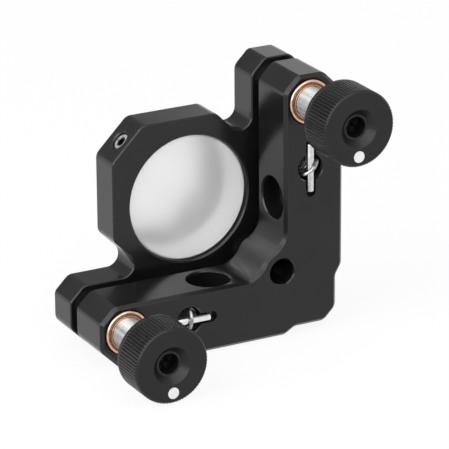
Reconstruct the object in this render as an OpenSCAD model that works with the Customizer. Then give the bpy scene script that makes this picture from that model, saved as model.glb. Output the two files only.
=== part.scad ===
// Kinematic mirror mount for a round one-inch optic.
// An L-shaped back plate carries two fine screws and a fixed pivot ball. Two springs
// pull the front plate, which holds the mirror, against the three balls.
// The origin is on the base face, on the axis of the base screw hole. X runs along the
// base, Y points out of the front of the mirror and Z is up.

/* [Plates] */
// Height of the mirror's axis above the base face, and its distance from the side face
axis_height = 26.5; // [24:0.1:40]
// Reach of each arm past the mirror's axis
arm_reach = 25.9; // [24:0.1:40]
// Width of each arm of the L
arm_width = 12.8; // [12:0.1:16]
// Thickness of the back plate
back_thickness = 10.9; // [9:0.1:16]
// Thickness of the front plate
front_thickness = 7.2; // [7:0.1:12]
// Gap between the plates with both adjusters centred
plate_gap = 2.4; // [1.8:0.1:4]
// How far the front plate stays back from the base face and the side face
front_inset = 0.8; // [0.3:0.1:2]

/* [Plate edges] */
// Leg of the bevel at the inner corner of each arm's end
end_bevel_in = 2.95; // [1.5:0.05:4]
// Leg of the bevel at the outer corner of each arm's end
end_bevel_out = 4.3; // [2.5:0.05:5]
// Leg of the bevel across the outer corner of the L
corner_bevel = 2.5; // [2:0.1:4]
// Radius that rounds the corners of the plates
corner_radius = 2.2; // [1.5:0.1:2.5]
// Depth of the relief in the base and side faces near the corner
relief_depth = 1.3; // [0.5:0.1:2]
// Length of the relief, measured from the corner
relief_length = 10.3; // [9:0.1:12]
// Chamfer on the rear edge of the back plate
back_chamfer = 0.65; // [0.2:0.05:0.8]
// Chamfer on the front edge of the back plate
inner_chamfer = 0.5; // [0.2:0.05:0.8]
// Chamfer on both edges of the front plate
front_chamfer = 0.2; // [0.2:0.05:0.8]
// Chamfer on the rims of the holes
hole_chamfer = 0.25; // [0.1:0.05:0.5]

/* [Mounting holes] */
// Distance of each mounting hole from the mirror's axis, away from the corner
hole_offset = 0.4; // [0:0.1:2]
// Depth of the mounting holes' axes below the rear face
hole_depth = 5.1; // [4.5:0.1:6]
// Diameter of the screw clearance holes
screw_hole_d = 4.5; // [3.2:0.1:5]
// Diameter of the counterbores for the screw heads
counterbore_d = 8.4; // [6:0.1:8.5]
// Depth of the counterbores
counterbore_depth = 4; // [2:0.1:4.2]
// Distance of the corner hole from the base face and from the side face
corner_hole_inset = 13.35; // [13:0.05:14]
// Diameter of the corner hole
corner_hole_d = 5.2; // [3:0.1:5.6]
// Wall round the corner hole on the inner side of the L
corner_wall = 1.95; // [1.6:0.05:2.5]
// Radius that joins the corner wall to the arms
inner_fillet = 4.75; // [3:0.05:6]

/* [Mirror and cell] */
// Diameter of the mirror
mirror_d = 25.4; // [20:0.1:25.4]
// Thickness of the mirror
mirror_thickness = 6; // [5:0.1:6]
// Depth of the mirror's back below the rear of the cell
mirror_recess = 1; // [0.5:0.1:1.1]
// Clearance round the mirror
mirror_clearance = 0.06; // [0.02:0.01:0.2]
// Bevel on the edges of the mirror
mirror_bevel = 0.3; // [0.1:0.05:0.5]
// Wall of the cell at its flat sides
cell_wall = 3.75; // [3:0.05:5]
// Wall of the cell at the face of the mirror's set screw
set_wall = 5.9; // [5:0.1:6.5]
// Wall of the cell at the two notches beside the arms
notch_wall = 3.1; // [2:0.1:3.2]
// Radius at the bottom of the two notches
notch_radius = 2.5; // [2:0.1:3.5]
// Diameter of the set screw that holds the mirror
set_screw_d = 3.5; // [2.5:0.1:4]
// Depth of the set screw's end below its face
set_screw_sink = 0.5; // [0.2:0.1:1.5]
// Length of the soft tip on the set screw
set_tip_length = 1.2; // [0.8:0.1:2]
// Size across the flats of the set screw's socket
set_socket = 1.6; // [1.2:0.1:2]
// Distance of the set screw's axis from the cell's rear face
set_screw_y = 3.5; // [3:0.1:4.5]

/* [Adjusters] */
// Distance of the adjusters and the pivot from the base and side faces
adjuster_inset = 7.45; // [6.5:0.05:7.6]
// Distance of each adjuster from the end of its arm
adjuster_end = 5.4; // [5.2:0.05:7]
// Diameter of the adjuster screws
adjuster_d = 6.35; // [5:0.05:6.5]
// Diameter of the threaded bushings
bushing_d = 9.2; // [8:0.1:9.2]
// Height of the bushing's rim above the rear face
bushing_rim = 0.6; // [0.5:0.1:1]
// Radius that rounds the bushing's rim outside
rim_radius = 0.45; // [0.2:0.05:0.5]
// Leg of the chamfer at the mouth of the bushing's thread
rim_chamfer = 0.5; // [0.2:0.05:0.5]
// Depth of the bushing's end below the plate's front face
bushing_sink = 0.5; // [0.2:0.1:1]
// Running clearance between a screw and its bushing
thread_clearance = 0.05; // [0.02:0.01:0.1]
// Distance from the rear face to the knobs
knob_gap = 10.65; // [6:0.05:14]
// Size across the flats of the adjuster screws' sockets
adjuster_socket = 2; // [1.5:0.1:2.5]
// Diameter of the balls
ball_d = 4; // [3:0.1:4.4]
// Clearance between a ball and its seat
ball_clearance = 0.03; // [0.02:0.01:0.1]
// Diameter of the three seats in the front plate
seat_d = 7; // [6:0.1:8]
// Thickness of the three seats
seat_thickness = 2.6; // [2.2:0.1:3]
// Diameter of the pivot stud
pivot_stud_d = 5; // [4.5:0.1:6]

/* [Knobs] */
// Diameter of the knobs
knob_d = 15; // [12:0.05:16]
// Length of the knobs
knob_length = 8.1; // [6:0.1:12]
// Number of teeth in the straight knurl
knurl_count = 72; // [48:1:90]
// Depth of the knurl's grooves
knurl_depth = 0.22; // [0.15:0.01:0.4]
// Width of each tooth's crest, as a share of the pitch
knurl_crest = 0.4; // [0.2:0.05:0.6]
// Width of the plain band beside the plate
knob_band = 1.4; // [1:0.1:2]
// Bevel round the edge of the band
band_bevel = 0.45; // [0.1:0.05:0.45]
// Bevel round the knob's face
knob_bevel = 0.35; // [0.1:0.05:0.6]
// Diameter of the countersink in the knob's face
countersink_d = 7.6; // [6:0.1:8.2]
// Depth of the countersink
countersink_depth = 1.4; // [0.5:0.1:2]
// Diameter of the hole that lets a hex key reach the screw
key_hole_d = 4.1; // [3:0.1:5]
// Width of the flat ring between the countersink and that hole
key_hole_ledge = 0.4; // [0.2:0.05:0.5]
// Length of screw held in the knob
knob_grip = 4.2; // [3:0.1:5]
// Diameter of the index dot
dot_d = 2.3; // [1.5:0.1:3]
// Distance of the index dot from the knob's axis
dot_radius = 5.45; // [5.1:0.05:5.8]
// Depth of the index dot
dot_depth = 0.15; // [0.05:0.05:0.3]
// Turn of the lower knob from the place where its index dot is lowest
lower_dot_turn = 2.3; // [-10:0.1:10]

/* [Springs] */
// Distance of the spring pockets from the base and side faces
pocket_inset = 7.15; // [6.5:0.05:8]
// Distance of the spring pockets from the mirror's axis
pocket_offset = 7.1; // [6.6:0.1:10]
// Diameter of the spring pockets
pocket_d = 5.3; // [4.5:0.1:5.6]
// Diameter of the spring pins
pin_d = 1.5; // [1:0.1:2]
// Length of the spring pins
pin_length = 9.7; // [7:0.1:12]
// Bevel on the ends of the pins
pin_bevel = 0.2; // [0.05:0.05:0.4]
// Depth of the pins' axes below the face that they lie in
pin_depth = 0.3; // [0.1:0.05:0.7]
// Clearance round a pin in its slot
pin_clearance = 0.35; // [0.1:0.05:0.5]
// Gap between each end of a pin and its slot
pin_end_gap = 1.05; // [0.5:0.05:1.2]
// How far the lower rear pin lies from its slot's middle, towards the arm's end
lower_pin_shift = 0.4; // [-0.4:0.1:0.4]
// Diameter of the spring wire
wire_d = 0.75; // [0.4:0.05:1]
// Gap between a spring and its pocket
spring_gap = 0.1; // [0.1:0.05:0.4]
// Number of turns in each spring's body
spring_turns = 18; // [10:1:20]
// Turn of the upper spring's hooks about its axis
upper_hook_turn = 40; // [0:1:90]
// Turn of the lower spring's hooks about its axis
lower_hook_turn = 83; // [60:1:120]

/* [Hidden] */
$fn = 48;

// Places measured from the mirror's axis, with y = 0 on the rear face of the back plate
wall = axis_height - arm_width;
near_line = axis_height - adjuster_inset;
far_line = arm_reach - adjuster_end;
front_rear = back_thickness + plate_gap;
front_face = front_rear + front_thickness;
ball_y = back_thickness + plate_gap / 2;
pocket_line = axis_height - pocket_inset;
corner_hole = axis_height - corner_hole_inset;
mirror_back = front_rear + mirror_recess;
cell_half = mirror_d / 2 + cell_wall;
set_face = mirror_d / 2 + set_wall;
coil_r = pocket_d / 2 - spring_gap - wire_d / 2;
hook_rise = coil_r - (pin_d + wire_d) / 2 - thread_clearance;
over = 0.3;
// Roundings are drawn this much larger than tangent, so that they meet the edges cleanly
skew = 0.005;
// The knurl's crests lie this far inside the knob's band, so that the two meet cleanly
crest_drop = 0.02;

function unit(v) = v / norm(v);
function heading(a) = [cos(a), sin(a)];
function flat(p) = [p[0], p[1]];
// Reflection of an outline point in the diagonal that runs through the corner of the L
function across(p) = [-p[1], -p[0], p[2]];
// A closed outline that is symmetric about that diagonal
function symmetric(half, nose) =
    concat(half, nose, [for (i = [len(half) - 1:-1:0]) across(half[i])]);
// Each corner of an outline, as [corner, first tangent, centre, last tangent, radius, turn]
function rounded(points) = [
    for (i = [0:len(points) - 1])
        let (n = len(points),
             p = flat(points[i]),
             a = flat(points[(i + n - 1) % n]),
             b = flat(points[(i + 1) % n]),
             r = points[i][2],
             u = unit(a - p),
             v = unit(b - p),
             half = acos(u * v) / 2)
        [p, p + u * r / tan(half), p + unit(u + v) * r / sin(half), p + v * r / tan(half),
         r, v[0] * u[1] - v[1] * u[0]]
];

// Angle that a rounding turns through
function turn_of(c) = acos(unit(c[1] - c[2]) * unit(c[3] - c[2]));
// How far a straight chamfer runs on past its end, into the rounding of an outer corner
function reach_past(c) = c[5] > 0 ? 1.5 * sqrt(2 * c[4] * skew) : 0;

// The wall round the corner hole: a round boss joined to each arm by a hollow fillet
boss_r = corner_hole_d / 2 + corner_wall;
fillet_x = wall - inner_fillet;
fillet_z = sqrt(pow(boss_r + inner_fillet, 2) - pow(corner_hole - fillet_x, 2)) - corner_hole;
boss_n = unit([fillet_x - corner_hole, fillet_z + corner_hole]);
boss_t = [corner_hole, -corner_hole] + boss_n * boss_r;
boss_step = (boss_t[0] + boss_t[1]) / (boss_n[1] - boss_n[0]);
boss_x = boss_t[0] - boss_step * boss_n[1];

// Outline of one arm's end, seen from behind, for a plate with its outer face at outer
function arm_end(outer) = [
    [outer, arm_reach - end_bevel_out + axis_height - outer, corner_radius],
    [axis_height - end_bevel_out, arm_reach, corner_radius],
    [wall + end_bevel_in, arm_reach, 2 * corner_radius / 3],
    [wall, arm_reach - end_bevel_in, corner_radius]
];
relieved = axis_height - relief_depth;
back_outline = symmetric(
    concat([[relieved, corner_bevel - relieved, corner_radius],
            [relieved, relief_length - axis_height, corner_radius],
            [axis_height, relief_length - axis_height + relief_depth / tan(30),
             corner_radius]],
           arm_end(axis_height),
           [[wall, boss_t[1] - (wall - boss_t[0]) * boss_n[0] / boss_n[1], inner_fillet]]),
    [[boss_x, -boss_x, boss_r]]);
front_outer = axis_height - front_inset;
notch_sum = (mirror_d / 2 + notch_wall) * sqrt(2);
set_sum = set_face * sqrt(2);
front_outline = symmetric(
    concat([[front_outer, 2 * corner_bevel - front_outer, corner_radius]],
           arm_end(front_outer),
           [[wall, notch_sum - wall, notch_radius],
            [notch_sum - cell_half, cell_half, corner_radius],
            [cell_half - set_sum, cell_half, corner_radius]]),
    []);

// Moves what is drawn about the mirror's axis to its place above the base hole
module at_axis() {
    translate([hole_offset, -hole_depth, axis_height]) children();
}

// The mirror image in the diagonal: what the upper arm has, the lower arm has too
module both_arms() {
    children();
    mirror([1, 0, 1]) children();
}

// A hole, pin or turned shape along Y that starts at y and runs towards the front
module along_y(x, y, z) {
    translate([x, y, z]) rotate([-90, 0, 0]) children();
}

// A flat outline with rounded corners. The arcs are drawn a little larger than tangent,
// so that they cross the straight edges cleanly.
module outline(points) {
    corners = rounded(points);
    difference() {
        polygon([for (c = corners) each c[5] > 0 ? [c[0]] : [c[1], c[3]]]);
        for (c = corners) {
            if (c[5] > 0) corner_sliver(c);
            if (c[5] < 0) translate(c[2]) circle(c[4] + 2 * skew);
        }
    }
}

// What a rounding takes off an outer corner, running a little past both edges
module corner_sliver(c) {
    n1 = unit(c[1] - c[2]);
    n2 = unit(c[3] - c[2]);
    difference() {
        polygon([c[2], c[1], c[1] + n1 * over, c[0] + (n1 + n2) * over / (1 + n1 * n2),
                 c[3] + n2 * over, c[3]]);
        translate(c[2]) circle(c[4] + skew);
    }
}

// Cuts a chamfer of the given leg along the whole top edge of an outline at height z
module chamfer_cut(points, z, leg) {
    corners = rounded(points);
    for (i = [0:len(corners) - 1]) {
        c = corners[i];
        next = corners[(i + 1) % len(corners)];
        run = unit(next[0] - c[0]);
        start = c[3] - run * reach_past(c);
        end = next[1] + run * reach_past(next);
        if (norm(next[1] - c[3]) > over / 10)
            translate([start[0], start[1], z]) rotate([0, 0, atan2(run[1], run[0])])
                rotate([90, 0, 90]) linear_extrude(norm(end - start))
                    polygon([[leg + over, over], [-over, over], [-over, -leg - over]]);
        outer = c[5] > 0;
        side = outer ? 1 : -1;
        r = c[4] + (outer ? skew : 2 * skew);
        spread = outer ? 0 : 1.5 * acos(c[4] / r);
        arm = outer ? c[1] - c[2] : c[3] - c[2];
        translate([c[2][0], c[2][1], z]) rotate([0, 0, atan2(arm[1], arm[0]) - spread])
            rotate_extrude(angle = turn_of(c) + 2 * spread)
                polygon([[r - side * (leg + over), over], [r + side * over, over],
                         [r + side * over, -leg - over]]);
    }
}

// A plate from y0 to y1 with a chamfer round its rear edge and its front edge
module plate(points, y0, y1, rear_leg, front_leg) {
    difference() {
        translate([0, y1, 0]) rotate([90, 0, 0])
            difference() {
                linear_extrude(y1 - y0) outline(points);
                chamfer_cut(points, y1 - y0, rear_leg);
            }
        translate([0, y1, 0]) rotate([90, 0, 0])
            mirror([0, 0, 1]) chamfer_cut(points, 0, front_leg);
    }
}

// A round hole along +Z from z = 0 with a chamfered rim at its start
module rimmed_hole(d, depth) {
    translate([0, 0, -over]) cylinder(d = d, h = depth + over);
    translate([0, 0, -over])
        cylinder(d1 = d + 2 * (hole_chamfer + over), d2 = d, h = hole_chamfer + over);
}

// A slot with round ends for a spring pin, along X, cut from z = 0 upwards
module pin_slot() {
    length = pin_length + 2 * pin_end_gap;
    width = pin_d + 2 * pin_clearance;
    depth = pin_depth + pin_d / 2;
    translate([0, 0, -over]) linear_extrude(depth + over) {
        square([length - width, width], center = true);
        for (side = [-1, 1]) translate([side * (length - width) / 2, 0]) circle(d = width);
    }
}

// The pocket for one spring, with its two rims
module spring_pocket(y0, y1) {
    along_y(pocket_line, y0, pocket_offset) rimmed_hole(pocket_d, (y1 - y0) / 2 + over);
    translate([pocket_line, y1, pocket_offset]) rotate([90, 0, 0])
        rimmed_hole(pocket_d, (y1 - y0) / 2 + over);
}

// A counterbored screw hole through the upper arm, from its inner face
module mounting_hole() {
    translate([wall, hole_depth, hole_offset]) rotate([0, 90, 0]) {
        rimmed_hole(counterbore_d, counterbore_depth);
        cylinder(d = screw_hole_d, h = arm_width + over);
    }
}

module back_plate() {
    color([0.13, 0.13, 0.14]) at_axis() difference() {
        plate(back_outline, 0, back_thickness, back_chamfer, inner_chamfer);
        both_arms() {
            along_y(near_line, -over, far_line)
                cylinder(d = bushing_d + thread_clearance, h = back_thickness + 2 * over);
            spring_pocket(0, back_thickness);
            along_y(pocket_line, 0, pocket_offset) rotate([0, 0, 90]) pin_slot();
            mounting_hole();
        }
        along_y(corner_hole, 0, -corner_hole) rimmed_hole(corner_hole_d, back_thickness + over);
        along_y(near_line, ball_y - ball_d / 2 - pivot_stud_d, -near_line)
            cylinder(d = pivot_stud_d + thread_clearance, h = back_thickness);
    }
}

// The axis of the mirror's set screw, pointing out of the cell, with z = 0 on its face
module at_set_screw() {
    translate([-set_face / sqrt(2), front_rear + set_screw_y, set_face / sqrt(2)])
        rotate([0, -45, 0]) children();
}

module front_plate() {
    color([0.13, 0.13, 0.14]) at_axis() difference() {
        plate(front_outline, front_rear, front_face, front_chamfer, front_chamfer);
        along_y(0, front_rear, 0)
            rimmed_hole(mirror_d + 2 * mirror_clearance, front_thickness + over);
        along_y(0, front_face, 0) mirror([0, 0, 1])
            rimmed_hole(mirror_d + 2 * mirror_clearance, 1);
        at_set_screw() mirror([0, 0, 1])
            rimmed_hole(set_screw_d + 2 * thread_clearance, set_wall + 2 * over);
        both_arms() {
            spring_pocket(front_rear, front_face);
            translate([pocket_line, front_face, pocket_offset]) rotate([90, 90, 0]) pin_slot();
            seat_hole(near_line, far_line);
        }
        seat_hole(near_line, -near_line);
    }
}

// The blind hole in the rear of the front plate for one seat
module seat_hole(x, z) {
    along_y(x, front_rear - over, z)
        cylinder(d = seat_d + thread_clearance, h = seat_thickness + seat_sink + over);
}

module mirror_disc() {
    r = mirror_d / 2;
    h = mirror_thickness;
    b = mirror_bevel;
    rotate_extrude() polygon([[0, 0], [r - b, 0], [r, b], [r, h - b], [r - b, h], [0, h]]);
}

module mirror_glass() {
    color([0.86, 0.87, 0.87]) at_axis() along_y(0, mirror_back, 0) mirror_disc();
}

module mirror_set_screw() {
    length = set_wall - set_screw_sink - set_tip_length;
    color([0.75, 0.75, 0.76]) at_axis() at_set_screw()
        translate([0, 0, -set_screw_sink - length]) difference() {
            cylinder(d = set_screw_d, h = length);
            translate([0, 0, length / 2]) cylinder(d = set_socket / cos(30), h = length, $fn = 6);
        }
}

module set_screw_tip() {
    color([0.93, 0.93, 0.9]) at_axis() at_set_screw()
        translate([0, 0, -set_wall + thread_clearance / 2])
            cylinder(d = set_screw_d * 0.6, h = set_tip_length - thread_clearance / 2);
}

// The threaded bushing, with a rounded rim outside and a funnel inside
module bushing() {
    r = bushing_d / 2;
    bore = adjuster_d / 2 + thread_clearance;
    top = -bushing_rim;
    end = back_thickness - bushing_sink;
    rotate_extrude() polygon(concat(
        [[bore, end], [bore, top + rim_chamfer], [bore + rim_chamfer, top]],
        [for (a = [90:-15:0])
            [r - rim_radius + rim_radius * cos(a), top + rim_radius - rim_radius * sin(a)]],
        [[r, end]]));
}

module upper_bushing() {
    color([0.79, 0.56, 0.42]) at_axis() along_y(near_line, 0, far_line) bushing();
}

module lower_bushing() {
    color([0.79, 0.56, 0.42]) at_axis() along_y(-far_line, 0, -near_line) bushing();
}

// An adjuster screw, with a socket in its outer end and a cup for the ball
module adjuster_screw() {
    start = -knob_gap - knob_grip;
    end = back_thickness;
    r = adjuster_d / 2;
    difference() {
        rotate_extrude() polygon([[0, start], [r - over, start], [r, start + over],
            [r, end - 1], [r - 1, end], [0, end]]);
        translate([0, 0, start - over])
            cylinder(d = adjuster_socket / cos(30), h = 2.5 + over, $fn = 6);
        translate([0, 0, ball_y]) sphere(d = ball_d + 2 * ball_clearance);
    }
}

module upper_screw() {
    color([0.75, 0.75, 0.76]) at_axis() along_y(near_line, 0, far_line) adjuster_screw();
}

module lower_screw() {
    color([0.75, 0.75, 0.76]) at_axis() along_y(-far_line, 0, -near_line) adjuster_screw();
}

module upper_ball() {
    color([0.8, 0.8, 0.81]) at_axis() along_y(near_line, ball_y, far_line) sphere(d = ball_d);
}

module lower_ball() {
    color([0.8, 0.8, 0.81]) at_axis() along_y(-far_line, ball_y, -near_line) sphere(d = ball_d);
}

// A knob with a straight knurl, drawn with its face at z = 0 and its band at the far end
module knob() {
    r = knob_d / 2;
    tip = r - crest_drop;
    root = tip - knurl_depth;
    pitch = 360 / knurl_count;
    flank = pitch * knurl_crest / 2;
    ledge_d = key_hole_d + 2 * key_hole_ledge;
    difference() {
        union() {
            intersection() {
                linear_extrude(knob_length - knob_band / 2)
                    polygon([for (i = [0:knurl_count - 1])
                        each [tip * heading(i * pitch - flank), tip * heading(i * pitch + flank),
                              root * heading((i + 0.5) * pitch)]]);
                cylinder(r1 = tip - knob_bevel, r2 = tip - knob_bevel + knob_length,
                         h = knob_length);
            }
            translate([0, 0, knob_length - knob_band]) rotate_extrude()
                polygon([[0, 0], [root - over / 3, 0], [r, r - root + over / 3],
                         [r, knob_band - band_bevel], [r - band_bevel, knob_band],
                         [0, knob_band]]);
        }
        translate([0, 0, knob_length - knob_grip - over / 3])
            cylinder(d = adjuster_d + thread_clearance, h = knob_grip + over);
        translate([0, 0, -over]) cylinder(d = key_hole_d, h = knob_length);
        translate([0, 0, -over])
            cylinder(d1 = countersink_d + (countersink_d - ledge_d) * over / countersink_depth,
                     d2 = ledge_d, h = countersink_depth + over);
        translate([0, -dot_radius, -over]) cylinder(d = dot_d, h = dot_depth + over);
    }
}

// The paint that fills the dimple of a knob
module index_dot() {
    translate([0, -dot_radius, 0]) cylinder(d = dot_d - thread_clearance, h = dot_depth);
}

// A knob's place at the outer end of a screw, with z = 0 on its face
module at_knob(x, z, turn) {
    at_axis() translate([x, -knob_gap - knob_length, z])
        rotate([-90, 0, 0]) mirror([0, 1, 0]) rotate([0, 0, turn]) children();
}

module upper_knob() {
    color([0.15, 0.15, 0.16]) at_knob(near_line, far_line, 0) knob();
}

module lower_knob() {
    color([0.15, 0.15, 0.16]) at_knob(-far_line, -near_line, lower_dot_turn) knob();
}

module upper_index_dot() {
    color([0.96, 0.96, 0.96]) at_knob(near_line, far_line, 0) index_dot();
}

module lower_index_dot() {
    color([0.96, 0.96, 0.96]) at_knob(-far_line, -near_line, lower_dot_turn) index_dot();
}

module pivot_stud() {
    color([0.75, 0.75, 0.76]) at_axis()
        along_y(near_line, ball_y - ball_d / 2 - pivot_stud_d, -near_line) difference() {
            cylinder(d = pivot_stud_d, h = pivot_stud_d + ball_d / 2 - plate_gap / 2);
            translate([0, 0, pivot_stud_d + ball_d / 2])
                sphere(d = ball_d + 2 * ball_clearance);
        }
}

module pivot_ball() {
    color([0.8, 0.8, 0.81]) at_axis() along_y(near_line, ball_y, -near_line) sphere(d = ball_d);
}

// Seats sink below the plate's rear face, so that every ball's centre lies in one plane
seat_sink = ball_y + ball_d / 2 + ball_clearance - front_rear;
// Depth of the point of a right-angled seat, where its flanks clear the ball
seat_point = ball_y + (ball_d / 2 + ball_clearance) * sqrt(2);

// A round seat blank in the rear of the front plate, its outer face at y = front_rear
module seat_blank(x, z) {
    along_y(x, front_rear, z) cylinder(d = seat_d, h = seat_thickness + seat_sink);
}

module cone_seat() {
    depth = seat_point - front_rear + over;
    color([0.72, 0.72, 0.73]) at_axis() difference() {
        seat_blank(near_line, -near_line);
        along_y(near_line, front_rear - over, -near_line)
            cylinder(r1 = depth, r2 = 0, h = depth);
    }
}

module groove_seat() {
    depth = seat_point - front_rear + over;
    color([0.72, 0.72, 0.73]) at_axis() difference() {
        seat_blank(near_line, far_line);
        translate([near_line, front_rear - over, far_line - seat_d])
            linear_extrude(2 * seat_d) polygon([[-depth, 0], [depth, 0], [0, depth]]);
    }
}

module flat_seat() {
    color([0.72, 0.72, 0.73]) at_axis() along_y(-far_line, front_rear + seat_sink, -near_line)
        cylinder(d = seat_d, h = seat_thickness);
}

// Centre line of a spring along Z: a hook over the rear pin, the coil, and the other hook
function spring_path(y0, y1) =
    let (low = y0 + hook_rise, high = y1 - hook_rise, rise = wire_d, n = 12,
         turns = spring_turns)
    concat(
        [for (a = [0:20:180]) [-coil_r * cos(a), 0, low - coil_r * sin(a)]],
        [for (a = [12, 30, 60]) [coil_r * cos(a), coil_r * sin(a), low + rise * sin(a * 1.2)]],
        [for (i = [3:n * turns - 3])
            [coil_r * cos(360 * i / n), coil_r * sin(360 * i / n),
             low + rise + (high - low - 2 * rise) * (i - 3) / (n * turns - 6)]],
        [for (a = [-60, -30, -12])
            [coil_r * cos(a), coil_r * sin(a), high + rise * sin(a * 1.2)]],
        [for (a = [180:-20:0]) [-coil_r * cos(a), 0, high + coil_r * sin(a)]]);

// A round wire swept along a path, its rings turned with the least twist
module wire(path, d, sides) {
    n = len(path);
    tangents = [for (i = [0:n - 1]) unit(path[min(i + 1, n - 1)] - path[max(i - 1, 0)])];
    normals = [for (i = 0, v = [0, 1, 0]; i < n;
                    i = i + 1, v = i < n ? unit(v - tangents[i] * (v * tangents[i])) : v) v];
    points = [for (i = [0:n - 1]) for (k = [0:sides - 1])
        path[i] + d / 2 * (cos(360 * k / sides) * normals[i]
                           + sin(360 * k / sides) * cross(tangents[i], normals[i]))];
    polyhedron(points, concat(
        [[for (k = [0:sides - 1]) k]],
        [for (i = [0:n - 2]) for (k = [0:sides - 1])
            [i * sides + (k + 1) % sides, i * sides + k, (i + 1) * sides + k,
             (i + 1) * sides + (k + 1) % sides]],
        [[for (k = [sides - 1:-1:0]) (n - 1) * sides + k]]));
}

// A spring from its rear pin to its front pin
module spring(turn) {
    rotate([0, 0, turn])
        wire(spring_path(pin_depth, front_face - pin_depth), wire_d, 6);
}

module upper_spring() {
    color([0.8, 0.8, 0.81]) at_axis() along_y(pocket_line, 0, pocket_offset)
        spring(-upper_hook_turn);
}

module lower_spring() {
    color([0.8, 0.8, 0.81]) at_axis() along_y(-pocket_offset, 0, -pocket_line)
        spring(-lower_hook_turn);
}

// A spring pin that lies in its slot, along Z on the upper arm
module spring_pin(y, shift = 0) {
    r = pin_d / 2;
    b = pin_bevel;
    translate([pocket_line, y, pocket_offset + shift - pin_length / 2]) rotate_extrude()
        polygon([[0, 0], [r - b, 0], [r, b], [r, pin_length - b], [r - b, pin_length],
                 [0, pin_length]]);
}

module upper_rear_pin() {
    color([0.82, 0.82, 0.83]) at_axis() spring_pin(pin_depth);
}

module lower_rear_pin() {
    color([0.82, 0.82, 0.83]) at_axis() mirror([1, 0, 1])
        spring_pin(pin_depth, lower_pin_shift);
}

module upper_front_pin() {
    color([0.82, 0.82, 0.83]) at_axis() spring_pin(front_face - pin_depth);
}

module lower_front_pin() {
    color([0.82, 0.82, 0.83]) at_axis() mirror([1, 0, 1]) spring_pin(front_face - pin_depth);
}

back_plate();
front_plate();
mirror_glass();  // mirror
mirror_set_screw();
set_screw_tip();
upper_bushing();
lower_bushing();
upper_screw();
lower_screw();
upper_ball();
lower_ball();
upper_knob();
lower_knob();
upper_index_dot();
lower_index_dot();
pivot_stud();
pivot_ball();
cone_seat();
groove_seat();
flat_seat();
upper_spring();
lower_spring();
upper_rear_pin();
lower_rear_pin();
upper_front_pin();
lower_front_pin();
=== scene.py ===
"""The looks of a kinematic mirror mount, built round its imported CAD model."""

import math

import bmesh
import bpy
from mathutils import Matrix, Quaternion, Vector


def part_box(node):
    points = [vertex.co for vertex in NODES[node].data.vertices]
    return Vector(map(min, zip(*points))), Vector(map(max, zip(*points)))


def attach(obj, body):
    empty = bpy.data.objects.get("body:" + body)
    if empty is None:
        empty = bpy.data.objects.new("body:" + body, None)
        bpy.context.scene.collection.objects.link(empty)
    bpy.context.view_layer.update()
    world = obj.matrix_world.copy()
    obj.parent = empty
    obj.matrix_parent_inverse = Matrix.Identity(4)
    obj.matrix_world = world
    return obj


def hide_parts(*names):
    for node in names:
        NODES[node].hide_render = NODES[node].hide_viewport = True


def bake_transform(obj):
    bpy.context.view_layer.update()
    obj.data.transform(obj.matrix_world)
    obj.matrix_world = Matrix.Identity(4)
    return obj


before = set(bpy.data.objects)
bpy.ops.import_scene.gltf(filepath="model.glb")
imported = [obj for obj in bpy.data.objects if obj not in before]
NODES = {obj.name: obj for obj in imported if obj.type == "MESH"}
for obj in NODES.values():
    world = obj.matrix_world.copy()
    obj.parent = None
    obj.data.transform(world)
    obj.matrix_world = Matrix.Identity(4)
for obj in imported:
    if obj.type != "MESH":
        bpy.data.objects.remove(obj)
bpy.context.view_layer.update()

MM = 0.001
TAU = 2 * math.pi
# The first width is that of the lighter edges, partly wear and partly painted highlight
EDGE_WEAR_AND_GLINT, EDGE_ROUND = 0.16 * MM, 0.08 * MM


# --- Materials -----------------------------------------------------------------------


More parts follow.
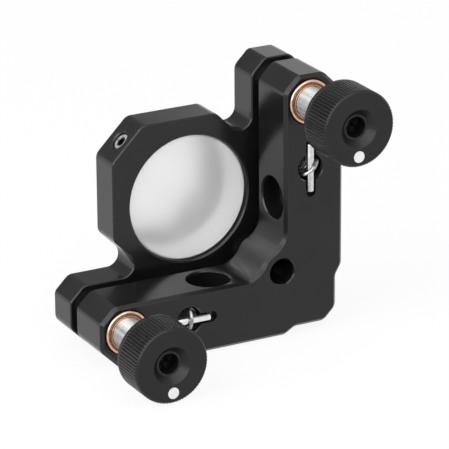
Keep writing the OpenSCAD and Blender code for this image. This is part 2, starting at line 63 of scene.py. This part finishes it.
class Shader:
    """A material with one Principled shader, and short calls to add its nodes."""

    def __init__(self, name, **values):
        self.material = bpy.data.materials.new(name)
        self.material.use_nodes = True
        self.tree = self.material.node_tree
        self.shader = self.tree.nodes["Principled BSDF"]
        for key, value in values.items():
            self.shader.inputs[key.replace("_", " ")].default_value = value
        self.place = self.add("ShaderNodeTexCoord").outputs["Object"]

    def add(self, kind, links=None, **settings):
        node = self.tree.nodes.new(kind)
        for key, value in settings.items():
            setattr(node, key, value)
        for key, value in (links or {}).items():
            self.plug(node.inputs[key], value)
        return node

    def plug(self, socket, value):
        if isinstance(value, bpy.types.NodeSocket):
            self.tree.links.new(value, socket)
        else:
            socket.default_value = value

    def noise(self, scale, detail=3, where=None):
        links = {"Vector": where or self.place, "Scale": scale, "Detail": detail, "Roughness": 0.55}
        return self.add("ShaderNodeTexNoise", links).outputs["Fac"]

    def math(self, operation, *values):
        return self.add("ShaderNodeMath", dict(enumerate(values)), operation=operation).outputs[0]

    def span(self, value, low, high, start=0.0, end=1.0):
        """Maps value from start..end to low..high, clamped."""
        links = {"Value": value, "From Min": start, "From Max": end, "To Min": low, "To Max": high}
        return self.add("ShaderNodeMapRange", links).outputs[0]

    def blend(self, share, first, second):
        """A mix of two colours, which are sockets 6 and 7 of the node."""
        node = self.add("ShaderNodeMix", {0: share, 6: first, 7: second}, data_type="RGBA")
        return node.outputs[2]

    def scaled(self, x, y, z):
        links = {"Vector": self.place, "Scale": (x, y, z)}
        return self.add("ShaderNodeMapping", links).outputs[0]

    def about(self, x, z):
        """Radius from the line along Y through (x, z), and the distance along it."""
        parts = self.add("ShaderNodeSeparateXYZ", {"Vector": self.place}).outputs
        dx = self.math("SUBTRACT", parts[0], x)
        dz = self.math("SUBTRACT", parts[2], z)
        square = self.math("ADD", self.math("MULTIPLY", dx, dx), self.math("MULTIPLY", dz, dz))
        return self.math("SQRT", square), parts[1]

    def join(self, x, y, z):
        return self.add("ShaderNodeCombineXYZ", {"X": x, "Y": y, "Z": z}).outputs[0]

    def soft_normal(self, width):
        """The surface direction with sharp edges rounded off over the given width."""
        return self.add("ShaderNodeBevel", {"Radius": width}, samples=4).outputs[0]

    def edge(self, width, grain):
        """1 on sharp edges and 0 on flat faces, broken up a little by the grain."""
        true = self.add("ShaderNodeNewGeometry").outputs["Normal"]
        turn = self.add("ShaderNodeVectorMath", {0: self.soft_normal(width), 1: true},
                        operation="DOT_PRODUCT")
        bend = self.span(turn.outputs["Value"], 1, 0, 0.9, 0.995)
        return self.math("MULTIPLY", bend, self.span(grain, 0.6, 1, 0.3, 0.6))

    def bump(self, height, strength, distance, soften=0.0):
        links = {"Height": height, "Strength": strength, "Distance": distance}
        if soften:
            links["Normal"] = self.soft_normal(soften)
        self.set(Normal=self.add("ShaderNodeBump", links).outputs[0])

    def set(self, **values):
        for key, value in values.items():
            self.plug(self.shader.inputs[key.replace("_", " ")], value)
        return self


def grey(value, tint=(1, 1, 1)):
    return (value * tint[0], value * tint[1], value * tint[2], 1)


def anodised(name, dark, light, rough, edge_wear_and_glint, index):
    """Bead-blasted aluminium, anodised black: a satin grain, faint clouds, and lighter edges that
    are partly wear of the dye and partly a painted highlight along every edge.
    """
    s = Shader(name, IOR=index)
    grain = s.noise(9000, 2)
    cloud = s.noise(160, 4)
    tone = s.math("ADD", s.math("MULTIPLY", grain, 0.55), s.math("MULTIPLY", cloud, 0.45))
    coat = s.blend(s.span(tone, 0, 1, 0.35, 0.65), grey(dark), grey(light))
    # Lighter edges: partly wear of the dye, partly a painted highlight where chamfers catch the
    # light
    s.set(Base_Color=s.blend(s.edge(EDGE_WEAR_AND_GLINT, grain), coat, grey(edge_wear_and_glint)))
    s.set(Roughness=s.span(s.math("ADD", grain, cloud), rough - 0.03, rough + 0.04, 0.7, 1.3))
    s.bump(grain, 0.2, 0.01 * MM, EDGE_ROUND)
    return s.material


def turned_metal(name, x, z, dull, bright, rough, streaks=0.0):
    """Metal turned on a lathe: rings that follow the tool, faint wear, and lengthwise streaks that
    are painted reflections.
    """
    ring_scale = 16000
    s = Shader(name, Metallic=1.0)
    across, down = (s.math("MULTIPLY", way, ring_scale) for way in s.about(x, z))
    rings = s.noise(1, 3, s.join(across, down, 0))
    cloud = s.noise(700, 3)
    # Lengthwise streaks in the colour are painted reflections along the barrel
    reflection_streaks = s.noise(1100, 2, s.scaled(1, 0.02, 1))
    tone = s.math("ADD", s.math("MULTIPLY", rings, 0.5), s.math("MULTIPLY", cloud, 0.5 - streaks))
    tone = s.math("ADD", tone, s.math("MULTIPLY", reflection_streaks, streaks))
    s.set(Base_Color=s.blend(s.span(tone, 0, 1, 0.38, 0.62), dull, bright))
    s.set(Roughness=s.span(tone, rough - 0.05, rough + 0.07, 0.35, 0.65))
    s.bump(rings, 0.25, 0.008 * MM)
    return s.material


def satin_metal(name, dull, bright, rough, stretch=(1, 1, 1), size=9000):
    """Drawn or polished metal, with fine marks. A small stretch draws them out along an axis."""
    s = Shader(name, Metallic=1.0)
    marks = s.noise(size, 3, s.scaled(*stretch))
    cloud = s.noise(900, 2)
    tone = s.math("ADD", s.math("MULTIPLY", marks, 0.7), s.math("MULTIPLY", cloud, 0.3))
    s.set(Base_Color=s.blend(s.span(tone, 0, 1, 0.38, 0.62), dull, bright))
    s.set(Roughness=s.span(marks, rough - 0.05, rough + 0.08, 0.3, 0.7))
    s.bump(marks, 0.15, 0.006 * MM)
    return s.material


# The indices of refraction are set to match the photo's blacks, and lie below measured ones
PLATE = anodised("black_anodised", 0.004, 0.008, rough=0.2, edge_wear_and_glint=0.03, index=1.41)
KNOB = anodised("black_knob", 0.004, 0.008, rough=0.34, edge_wear_and_glint=0.015, index=1.38)
# The screw's tail and socket are painted nearer black than the plates, as painted shade inside the
# knob's bore
TAIL_SHADE = anodised("screw_end_painted_shade", 0.002, 0.004, rough=0.5, edge_wear_and_glint=0.004, index=1.2)
STEEL = satin_metal("polished_steel", grey(0.6), grey(0.72), 0.16)
SEAT = satin_metal("hardened_seat", grey(0.5), grey(0.62), 0.24)
WIRE = satin_metal("spring_wire", grey(0.27), grey(0.44), 0.3, size=2500)
# One pin steel in two copies: the level pins are painted lighter than the upright ones, as painted
# light and painted shade
PIN_Z = satin_metal("ground_pin_upright_shaded", grey(0.5), grey(0.95), 0.22, (1, 1, 0.02), size=3200)
PIN_X = satin_metal("ground_pin_level_lit", grey(0.64), grey(0.98), 0.22, (0.02, 1, 1), size=3200)
SET_STEEL = satin_metal("set_screw_steel", grey(0.68), grey(0.94), 0.26)
# Darker bronze for the rim's side, the gap wall and the groove: painted shade
GROOVE_SHADE = satin_metal("bronze_groove_painted_shade", grey(1, (0.2, 0.1, 0.06)), grey(1, (0.34, 0.19, 0.12)),
                     0.35)
# The set screw's hex socket is painted near black, as painted shade in its recess
SOCKET_SHADE = satin_metal("socket_painted_shade", grey(0.05), grey(0.14), 0.3)
TIP = Shader("nylon_tip", Base_Color=grey(0.8), Roughness=0.5)
TIP.set(Roughness=TIP.span(TIP.noise(6000), 0.42, 0.58)).bump(TIP.noise(4000), 0.2, 0.01 * MM)
PAINT = Shader("white_paint", Roughness=0.4)
PAINT.set(Base_Color=PAINT.blend(PAINT.noise(2500), grey(0.65), grey(0.7)))
PAINT.bump(PAINT.noise(5000), 0.3, 0.02 * MM)


def ground_glass():
    """The frosted back of the mirror: light goes in, meets the coating and comes back. Its
    index and transmission are set to match the photo, not to real glass."""
    s = Shader("ground_glass", IOR=1.37, Transmission_Weight=0.71)
    s.set(Base_Color=s.blend(s.noise(300, 2), grey(0.985), grey(0.995)))
    s.set(Roughness=s.span(s.noise(5000), 0.36, 0.44))
    s.bump(s.noise(9000, 2), 0.2, 0.02 * MM)
    return s.material


def frosted_edge():
    """The ground barrel of the mirror and its two small bevels."""
    s = Shader("frosted_edge", IOR=1.5)
    s.set(Base_Color=s.blend(s.noise(400, 2), grey(0.98), grey(0.995)))
    s.set(Roughness=s.span(s.noise(6000), 0.55, 0.7))
    s.bump(s.noise(7000, 2), 0.3, 0.02 * MM)
    return s.material


def silvering():
    """The protected silver on the mirror's front."""
    s = Shader("silver_coating", Metallic=1.0)
    s.set(Base_Color=s.blend(s.noise(500, 2), grey(0.985), grey(0.995)))
    s.set(Roughness=s.span(s.noise(900), 0.015, 0.03))
    s.bump(s.noise(400, 1), 0.02, 0.002 * MM)
    return s.material


def dress(node, material):
    NODES[node].data.materials.clear()
    NODES[node].data.materials.append(material)


# --- Detailed pieces -----------------------------------------------------------------


def middle(node):
    low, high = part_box(node)
    return (low + high) / 2


def box_mm(node):
    """The lowest and the highest corner of a node, in millimetres."""
    return [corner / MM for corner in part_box(node)]


def along(axis, where):
    """A frame whose third axis runs along the given one, with its origin at a point."""
    turn = Vector((0, 0, 1)).rotation_difference(Vector(axis).normalized())
    return Matrix.Translation(where) @ turn.to_matrix().to_4x4()


def turning_line(node):
    """A frame whose third axis is the line along Y through the middle of a node."""
    spot = middle(node)
    return along((0, 1, 0), (spot.x, 0, spot.z))


def piece(name, body, replaced, shell, materials):
    """A finished mesh piece that stands for a CAD node and rides on its body. Where body is
    two bodies and two points, they are not used, and the piece stays fixed where it is built. A
    piece that replaces nothing adds to one that does."""
    crease = 35
    mesh = bpy.data.meshes.new(name)
    mesh.from_pydata(shell.points, [], shell.faces)
    for material in materials:
        mesh.materials.append(material)
    for face, kind in zip(mesh.polygons, shell.kinds):
        face.material_index = kind
    form = bmesh.new()
    form.from_mesh(mesh)
    bmesh.ops.recalc_face_normals(form, faces=form.faces)
    form.to_mesh(mesh)
    form.free()
    mesh.shade_smooth()
    mesh.set_sharp_from_angle(angle=math.radians(crease))
    obj = bpy.data.objects.new(name, mesh)
    bpy.context.scene.collection.objects.link(obj)
    if isinstance(body, tuple):
        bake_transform(obj)
    else:
        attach(obj, body)
    if replaced:
        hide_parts(replaced)


class Shell:
    """Points and faces that grow piece by piece, each part closed."""

    def __init__(self):
        self.points, self.faces, self.kinds = [], [], []

    def face(self, corners, kind):
        self.faces.append(corners)
        self.kinds.append(kind)

    def lathe(self, place, rings, sides=96):
        """Turns a profile about the third axis of place. A ring is (radius, height), with an
        optional material index, and after it "hex" for a hexagon about that radius. A profile
        that doesn't start on the axis is closed on itself."""
        rows = []
        for ring in rings:
            radius, height = ring[:2]
            hexagon = "hex" in ring
            if radius == 0:
                rows.append([self.add(place @ Vector((0, 0, height)))])
                continue
            row = []
            for k in range(sides):
                angle = TAU * k / sides
                sixth = (angle + TAU / 12) % (TAU / 6) - TAU / 12
                reach = radius / math.cos(sixth) if hexagon else radius
                spot = Vector((reach * math.cos(angle), reach * math.sin(angle), height))
                row.append(self.add(place @ spot))
            rows.append(row)
        if rings[0][0]:
            rings, rows = rings + rings[:1], rows + rows[:1]
        for ring, low, high in zip(rings[1:], rows, rows[1:]):
            kind = ring[2] if len(ring) > 2 else 0
            for k in range(sides):
                n = (k + 1) % sides
                if len(low) == 1:
                    self.face((low[0], high[k], high[n]), kind)
                elif len(high) == 1:
                    self.face((low[n], low[k], high[0]), kind)
                else:
                    self.face((low[n], low[k], high[k], high[n]), kind)

    def add(self, point):
        self.points.append(tuple(point))
        return len(self.points) - 1

    def thread(self, place, start, end, pitch, crest, root, dip=0):
        """A right-hand thread about the third axis of place, from start to end, closed by a
        cone at each end, the far one sunk by dip. Its grid follows the helix, so crests and
        roots stay crisp."""
        sides = 44
        shares = ((0, crest), (0.16, crest), (0.5, root), (0.66, root))
        m = len(shares)
        last = m * int((end - start) / pitch) - m
        column = {}
        for k in range(sides):
            angle = TAU * k / sides
            for i in range(last + 1 if k else last + m + 1):
                share, radius = shares[i % m]
                height = start + pitch * (i // m + share + k / sides)
                spot = Vector((radius * math.cos(angle), radius * math.sin(angle), height))
                column[i, k] = self.add(place @ spot)
        for i in range(last + 1):
            column[i, sides] = column[i + m, 0]
        for i in range(last):
            for k in range(sides):
                self.face((column[i, k], column[i, k + 1], column[i + 1, k + 1],
                           column[i + 1, k]), 0)
        for row, height, flip in ((0, start - pitch, True), (last, end + pitch - dip, False)):
            loop = [column[row, k] for k in range(sides)]
            loop += [column[row + i, 0] for i in range(m, 0, -1)]
            centre = self.add(place @ Vector((0, 0, height)))
            for a, b in zip(loop, loop[1:] + loop[:1]):
                self.face((centre, b, a) if flip else (centre, a, b), 0)

    def wire(self, path, radius):
        """A round wire swept along a path, with a blunt point at both ends."""
        sides = 10
        tangents = [(path[min(i + 1, len(path) - 1)] - path[max(i - 1, 0)]).normalized()
                    for i in range(len(path))]
        normal = tangents[0].orthogonal().normalized()
        rows = []
        for spot, tangent in zip(path, tangents):
            normal = (normal - tangent * normal.dot(tangent)).normalized()
            other = tangent.cross(normal)
            rows.append([self.add(spot + radius * (math.cos(TAU * k / sides) * normal
                                                   + math.sin(TAU * k / sides) * other))
                         for k in range(sides)])
        for low, high in zip(rows, rows[1:]):
            for k in range(sides):
                n = (k + 1) % sides
                self.face((low[k], low[n], high[n], high[k]), 0)
        first = self.add(path[0] - tangents[0] * radius * 0.5)
        final = self.add(path[-1] + tangents[-1] * radius * 0.5)
        for k in range(sides):
            n = (k + 1) % sides
            self.face((first, rows[0][n], rows[0][k]), 0)
            self.face((final, rows[-1][k], rows[-1][n]), 0)


def arc(cx, cy, radius, start, end, steps, squash=1.0):
    """Points of an arc of a profile, as (radius, height) pairs."""
    turn = [math.radians(start + (end - start) * i / steps) for i in range(steps + 1)]
    return [(cx + radius * math.cos(a), cy + radius * squash * math.sin(a)) for a in turn]


def in_metres(rings):
    """A profile that is written in millimetres, in metres."""
    return [(r[0] * MM, r[1] * MM) + tuple(r[2:]) for r in rings]


def bushing_piece(end, material, dark):
    """The bronze bushing: a round crown, a groove, a thin lip and a plain barrel. The
    proud rim is a little narrower than the barrel, which leaves a thin gap about it. The
    rim's side, the gap wall and the groove are painted dark bronze as painted shade."""
    low, high = box_mm(end + "_bushing")
    radius, top, stop = (high.x - low.x) / 2, low.y, high.y
    bore, crown, lip, gap = 3.225, 0.4, 0.12, 0.2
    inner_bevel, outer_bevel, shoulder, groove, round_off = 0.2, 0.3, 1.15, 0.3, 0.05
    rim = radius - gap
    # Rings marked 1 take the dark bronze: painted shade in the gap and the groove
    rings = [(bore, stop - inner_bevel), (bore + inner_bevel, stop),
             (radius - outer_bevel, stop), (radius, stop - outer_bevel),
             (radius, top + shoulder), (rim, top + shoulder - gap / 2, 1),
             (rim, top + crown + round_off, 1)]
    rings += arc(rim - crown, top + crown, crown, 0, -140, 16)
    rings += [(bore + 3 * lip, top + groove, 1), (bore + 2 * lip, top + groove - round_off, 1)]
    rings += arc(bore + lip, top + lip, lip, 0, -180, 8)
    shell = Shell()
    shell.lathe(turning_line(end + "_bushing"), in_metres(rings))
    piece(end + "_bronze_bushing", "back", end + "_bushing", shell, [material, dark])


def screw_piece(end, material, dark):
    """The adjuster screw: a real fine thread between a socketed tail and a cupped nose."""
    low, high = box_mm(end + "_screw")
    ball_low, ball_high = box_mm(end + "_ball")
    radius, start, stop = (high.x - low.x) / 2, low.y, high.y
    knob_back, bushing_stop = box_mm(end + "_knob")[1].y, box_mm(end + "_bushing")[1].y
    place = turning_line(end + "_screw")
    shell = Shell()

    socket, socket_end, drill_end = 1.0, 2.5, 2.9
    socket_bevel, tail_bevel = (0.2, 0.12), 0.35
    tail_end = knob_back - 1.5
    # The tail and its hex socket take the dark material: painted shade inside the knob's bore
    shell.lathe(place, in_metres([(0, start + drill_end), (socket, start + socket_end, 1, "hex"),
                                  (socket, start + socket_bevel[1], 1, "hex"),
                                  (socket + socket_bevel[0], start, 1),
                                  (radius - tail_bevel, start, 1),
                                  (radius, start + tail_bevel, 1),
                                  (radius, tail_end, 1), (0, tail_end, 1)]), 72)

    # The thread runs into the tail and the nose, so that no gap shows between them
    depth, pitch = 0.13, 0.3175
    thread_start, thread_end = tail_end - 1, bushing_stop - 0.6
    shell.thread(place, thread_start * MM, thread_end * MM, pitch * MM, radius * MM,
                 (radius - depth) * MM)

    neck, nose_bevel = radius - 0.25, 0.75
    ball_at = (ball_low.y + ball_high.y) / 2
    cup = (ball_high.y - ball_low.y) / 2 + 0.03
    open_angle = math.acos((ball_at - stop) / cup)
    nose = [(0, thread_end - 0.6), (neck, thread_end - 0.6), (neck, stop - nose_bevel),
            (neck - nose_bevel, stop)]
    nose += [(cup * math.sin(a), ball_at - cup * math.cos(a))
             for a in (open_angle * k / 8 for k in range(8, 0, -1))]
    shell.lathe(place, in_metres(nose + [(0, ball_at - cup)]), 72)
    piece(end + "_fine_screw", end + "_turn", end + "_screw", shell, [material, dark])


def spring_piece(end, turn, material):
    """The extension spring: a coil, a little open, and a hook at each end over its pin. It
    is built in two lengths that meet at the height of the pivot."""
    low, high = box_mm(end + "_spring")
    axis = (low + high) / 2
    wire, coil, turns, lift = 0.75, 2.175, 18, 0.75
    hook_steps, turn_steps, ease_steps = 16, 24, 10
    first, last = low.y + wire / 2 + coil, high.y - wire / 2 - coil

    def hook(height, way):
        angles = (math.pi * k / hook_steps for k in range(hook_steps + 1))
        return [(way * coil * math.cos(a), 0, height + way * coil * math.sin(a)) for a in angles]

    path = hook(first, -1)
    steps = turn_steps * turns
    for i in range(1, steps):
        a = TAU * i / turn_steps
        ease = min(1, min(i, steps - i) / ease_steps)
        rise = lift * math.sin(math.pi / 2 * ease)
        height = first + rise if i < steps / 2 else last - rise
        if ease == 1:
            share = (i - ease_steps) / (steps - 2 * ease_steps)
            height = first + lift + (last - first - 2 * lift) * share
        path.append((coil * math.cos(a), coil * math.sin(a), height))
    path += hook(last, 1)

    c, s = math.cos(math.radians(turn)), math.sin(math.radians(turn))
    spots = [Vector((axis.x + x * c + y * s, z, axis.z + x * s - y * c)) * MM for x, y, z in path]
    pivot_y = middle("pivot_ball").y
    near, mid, far = (Vector((axis.x * MM, y, axis.z * MM))
                      for y in (first * MM, pivot_y, last * MM))
    cut = next(i for i, spot in enumerate(spots) if spot.y > pivot_y)
    rear, front = ("back", "pivot", near, mid), ("pivot", "front", mid, far)
    for name, replaced, bend, stretch in (
            (end + "_coil_spring", end + "_spring", rear, spots[:cut + 1]),
            (end + "_coil_spring_end", None, front, spots[cut:])):
        shell = Shell()
        shell.wire(stretch, wire / 2 * MM)
        piece(name, bend, replaced, shell, [material])


def pin_piece(node, body, material):
    """A spring pin with rounded ends."""
    low, high = box_mm(node)
    size = high - low
    length, radius = max(size), min(size) / 2
    bevel, squash = 0.3, 0.85
    end = arc(radius - bevel, 0, bevel, 0, 90, 6, squash)
    far = length / 2 - bevel * squash
    rings = [(0, -length / 2)] + [(x, -far - y) for x, y in reversed(end)]
    rings += [(x, far + y) for x, y in end] + [(0, length / 2)]
    way = (0, 0, 1) if size.z > size.x else (1, 0, 0)
    shell = Shell()
    shell.lathe(along(way, middle(node)), in_metres(rings), 40)
    piece(node + "_turned", body, node, shell, [material])


def set_screw_piece(material, dark):
    """The mirror's set screw: a thread, a bevelled end and a hex socket."""
    heart = middle("mirror_set_screw")
    way = (heart - middle("set_screw_tip")).normalized()
    place = along(way, heart)
    length, radius, pitch, depth = 4.2, 1.75, 0.5, 0.26
    core, inner_end = radius - 0.3, 0.2
    collar, step, bevel = 0.6, 0.05, (0.15, 0.2)
    socket, socket_bevel, socket_end, drill_end = 0.8, (0.2, 0.12), 1.9, 2.2
    end = length / 2
    shell = Shell()
    # The hex socket's walls and floor take the dark material: painted shade in the recess
    shell.lathe(place, in_metres([(0, inner_end - end), (core, inner_end - end),
                                  (core, end - collar), (radius, end - collar + step),
                                  (radius, end - bevel[1]), (radius - bevel[0], end),
                                  (socket + socket_bevel[0], end),
                                  (socket, end - socket_bevel[1], 1, "hex"),
                                  (socket, end - socket_end, 1, "hex"),
                                  (0, end - drill_end, 1)]), 72)
    # The far end of the thread is sunk, or it would close the socket
    shell.thread(place, (pitch - end) * MM, (end - pitch) * MM, pitch * MM, radius * MM,
                 (radius - depth) * MM, dip=3.5 * MM)
    piece("mirror_grub_screw", "front", "mirror_set_screw", shell, [material, dark])


def mirror_piece(back, edge, coat):
    """The mirror: a ground back, a ground barrel between two bevels, and a coated front."""
    low, high = box_mm("mirror")
    radius, bevel = (high.x - low.x) / 2, 0.3
    rings = [(0, low.y), (radius - bevel, low.y, 0), (radius, low.y + bevel, 1),
             (radius, high.y - bevel, 1), (radius - bevel, high.y, 1), (0, high.y, 2)]
    shell = Shell()
    shell.lathe(turning_line("mirror"), in_metres(rings), 144)
    piece("coated_mirror", "front", "mirror", shell, [back, edge, coat])


for node in ("back_plate", "front_plate"):
    dress(node, PLATE)
for end, pin in (("upper", PIN_Z), ("lower", PIN_X)):
    axis = middle(end + "_screw")
    bronze = turned_metal(end + "_bronze", axis.x, axis.z, grey(1, (0.66, 0.37, 0.24)),
                          grey(1, (0.84, 0.55, 0.38)), 0.24)
    # The screw's lengthwise streaks are painted reflections
    steel = turned_metal(end + "_screw_steel", axis.x, axis.z, grey(0.21), grey(0.5), 0.28,
                         streaks=0.45)
    bushing_piece(end, bronze, GROOVE_SHADE)
    screw_piece(end, steel, TAIL_SHADE)
    spring_piece(end, 40 if end == "upper" else 83, WIRE)
    pin_piece(end + "_rear_pin", "back", pin)
    pin_piece(end + "_front_pin", "front", pin)
    dress(end + "_knob", KNOB)
    dress(end + "_index_dot", PAINT.material)
    dress(end + "_ball", STEEL)
for node in ("pivot_ball", "pivot_stud"):
    dress(node, STEEL)
for node in ("cone_seat", "groove_seat", "flat_seat"):
    dress(node, SEAT)
dress("set_screw_tip", TIP.material)
set_screw_piece(SET_STEEL, SOCKET_SHADE)
mirror_piece(ground_glass(), frosted_edge(), silvering())


# --- Floor, light and camera ---------------------------------------------------------


def only_seen(tree, shader_seen, shader_lit, socket):
    """Camera, glossy and transmission rays meet one shader, and all others the other."""
    nodes, links = tree.nodes, tree.links
    path = nodes.new("ShaderNodeLightPath")
    share = path.outputs["Is Camera Ray"]
    for kind in ("Is Glossy Ray", "Is Transmission Ray"):
        most = nodes.new("ShaderNodeMath")
        most.operation = "MAXIMUM"
        links.new(share, most.inputs[0])
        links.new(path.outputs[kind], most.inputs[1])
        share = most.outputs[0]
    mix = nodes.new("ShaderNodeMixShader")
    links.new(share, mix.inputs[0])
    links.new(shader_lit.outputs[0], mix.inputs[1])
    links.new(shader_seen.outputs[0], mix.inputs[2])
    links.new(mix.outputs[0], socket)


SCENE = bpy.context.scene
WORLD_LIT, WORLD_SEEN = 0.62, 1.0
world = bpy.data.worlds.new("studio")
world.use_nodes = True
SCENE.world = world
lit = world.node_tree.nodes["Background"]
seen = world.node_tree.nodes.new("ShaderNodeBackground")
for sky, strength in ((lit, WORLD_LIT), (seen, WORLD_SEEN)):
    sky.inputs["Color"].default_value = grey(1)
    sky.inputs["Strength"].default_value = strength
only_seen(world.node_tree, seen, lit, world.node_tree.nodes["World Output"].inputs["Surface"])


def sheet(name, width, height, material):
    """A flat rectangle about its own middle, for the floor and the studio card."""
    w, h = width / 2, height / 2
    mesh = bpy.data.meshes.new(name)
    mesh.from_pydata([(-w, -h, 0), (w, -h, 0), (w, h, 0), (-w, h, 0)], [], [(0, 1, 2, 3)])
    mesh.materials.append(material)
    return bpy.data.objects.new(name, mesh)


FLOOR_SIZE, FLOOR_DROP, FLOOR_GLOW = 6.0, 0.0002, 0.9
cover = Shader("pale_floor", Base_Color=grey(0.85), Roughness=0.9)
glow = cover.add("ShaderNodeEmission", {"Color": grey(1), "Strength": 1.0}).outputs[0]
pale = cover.add("ShaderNodeMixShader", {0: FLOOR_GLOW, 1: cover.shader.outputs[0], 2: glow})
only_seen(cover.tree, pale, cover.shader, cover.tree.nodes["Material Output"].inputs["Surface"])
floor = sheet("floor", FLOOR_SIZE, FLOOR_SIZE, cover.material)
SCENE.collection.objects.link(floor)
floor.location.z = -FLOOR_DROP

CENTRE = Vector((0, 0, 0.026))


def outward(azimuth, elevation):
    """The direction from the part to a place about it. Azimuth 0 is on the knobs' side."""
    a, e = math.radians(azimuth), math.radians(elevation)
    return Vector((math.sin(a) * math.cos(e), -math.cos(a) * math.cos(e), math.sin(e)))


def look_back(obj, back):
    """Puts an object into the scene, turned to look against the direction it stands in."""
    obj.rotation_mode = "QUATERNION"
    obj.rotation_quaternion = (-back).to_track_quat("-Z", "Y")
    SCENE.collection.objects.link(obj)


def facing(obj, azimuth, elevation, distance):
    """Puts a lamp or a card on a line to the part, and turns it to look there."""
    back = outward(azimuth, elevation)
    obj.location = CENTRE + back * distance
    look_back(obj, back)


def flag(name, azimuth, elevation, distance, width, height, value):
    """A grey studio card: it shows in reflections and nowhere else."""
    cloth = Shader(name, Base_Color=grey(value), Roughness=0.9)
    obj = sheet(name, width, height, cloth.material)
    obj.visible_camera = obj.visible_diffuse = obj.visible_shadow = False
    obj.visible_transmission = False
    facing(obj, azimuth, elevation, distance)


def lamp(name, azimuth, elevation, distance, size, watts):
    """A square softbox that looks at the part."""
    data = bpy.data.lights.new(name, "AREA")
    data.shape = "SQUARE"
    data.size = size
    data.energy = watts
    facing(bpy.data.objects.new(name, data), azimuth, elevation, distance)


flag("back_card", 191, 27, distance=0.5, width=0.73, height=0.36, value=0.34)
lamp("key_softbox", -76, 30, distance=0.8, size=0.7, watts=6)
lamp("top_softbox", -8, 47, distance=0.9, size=0.8, watts=3.5)

# The camera's place and turn, fitted to the photo. Its place is in millimetres.
CAMERA_AT = Vector((-272.77, -520.87, 243.47))
AZIMUTH, ELEVATION, ROLL = -27.954, 20.478, 0.39
camera = bpy.data.objects.new("camera", bpy.data.cameras.new("camera"))
camera.location = CAMERA_AT * MM
look_back(camera, outward(AZIMUTH, ELEVATION))
roll = Quaternion((0, 0, 1), math.radians(-ROLL))
camera.rotation_quaternion = camera.rotation_quaternion @ roll
SCENE.camera = camera
camera.data.sensor_width = 36
camera.data.lens = 263.24
camera.data.clip_start = 0.01
camera.data.clip_end = 20

SCENE.cycles.max_bounces = 24
SCENE.cycles.diffuse_bounces = 10
SCENE.cycles.glossy_bounces = 10
SCENE.cycles.transmission_bounces = 20
SCENE.view_settings.view_transform = "Standard"
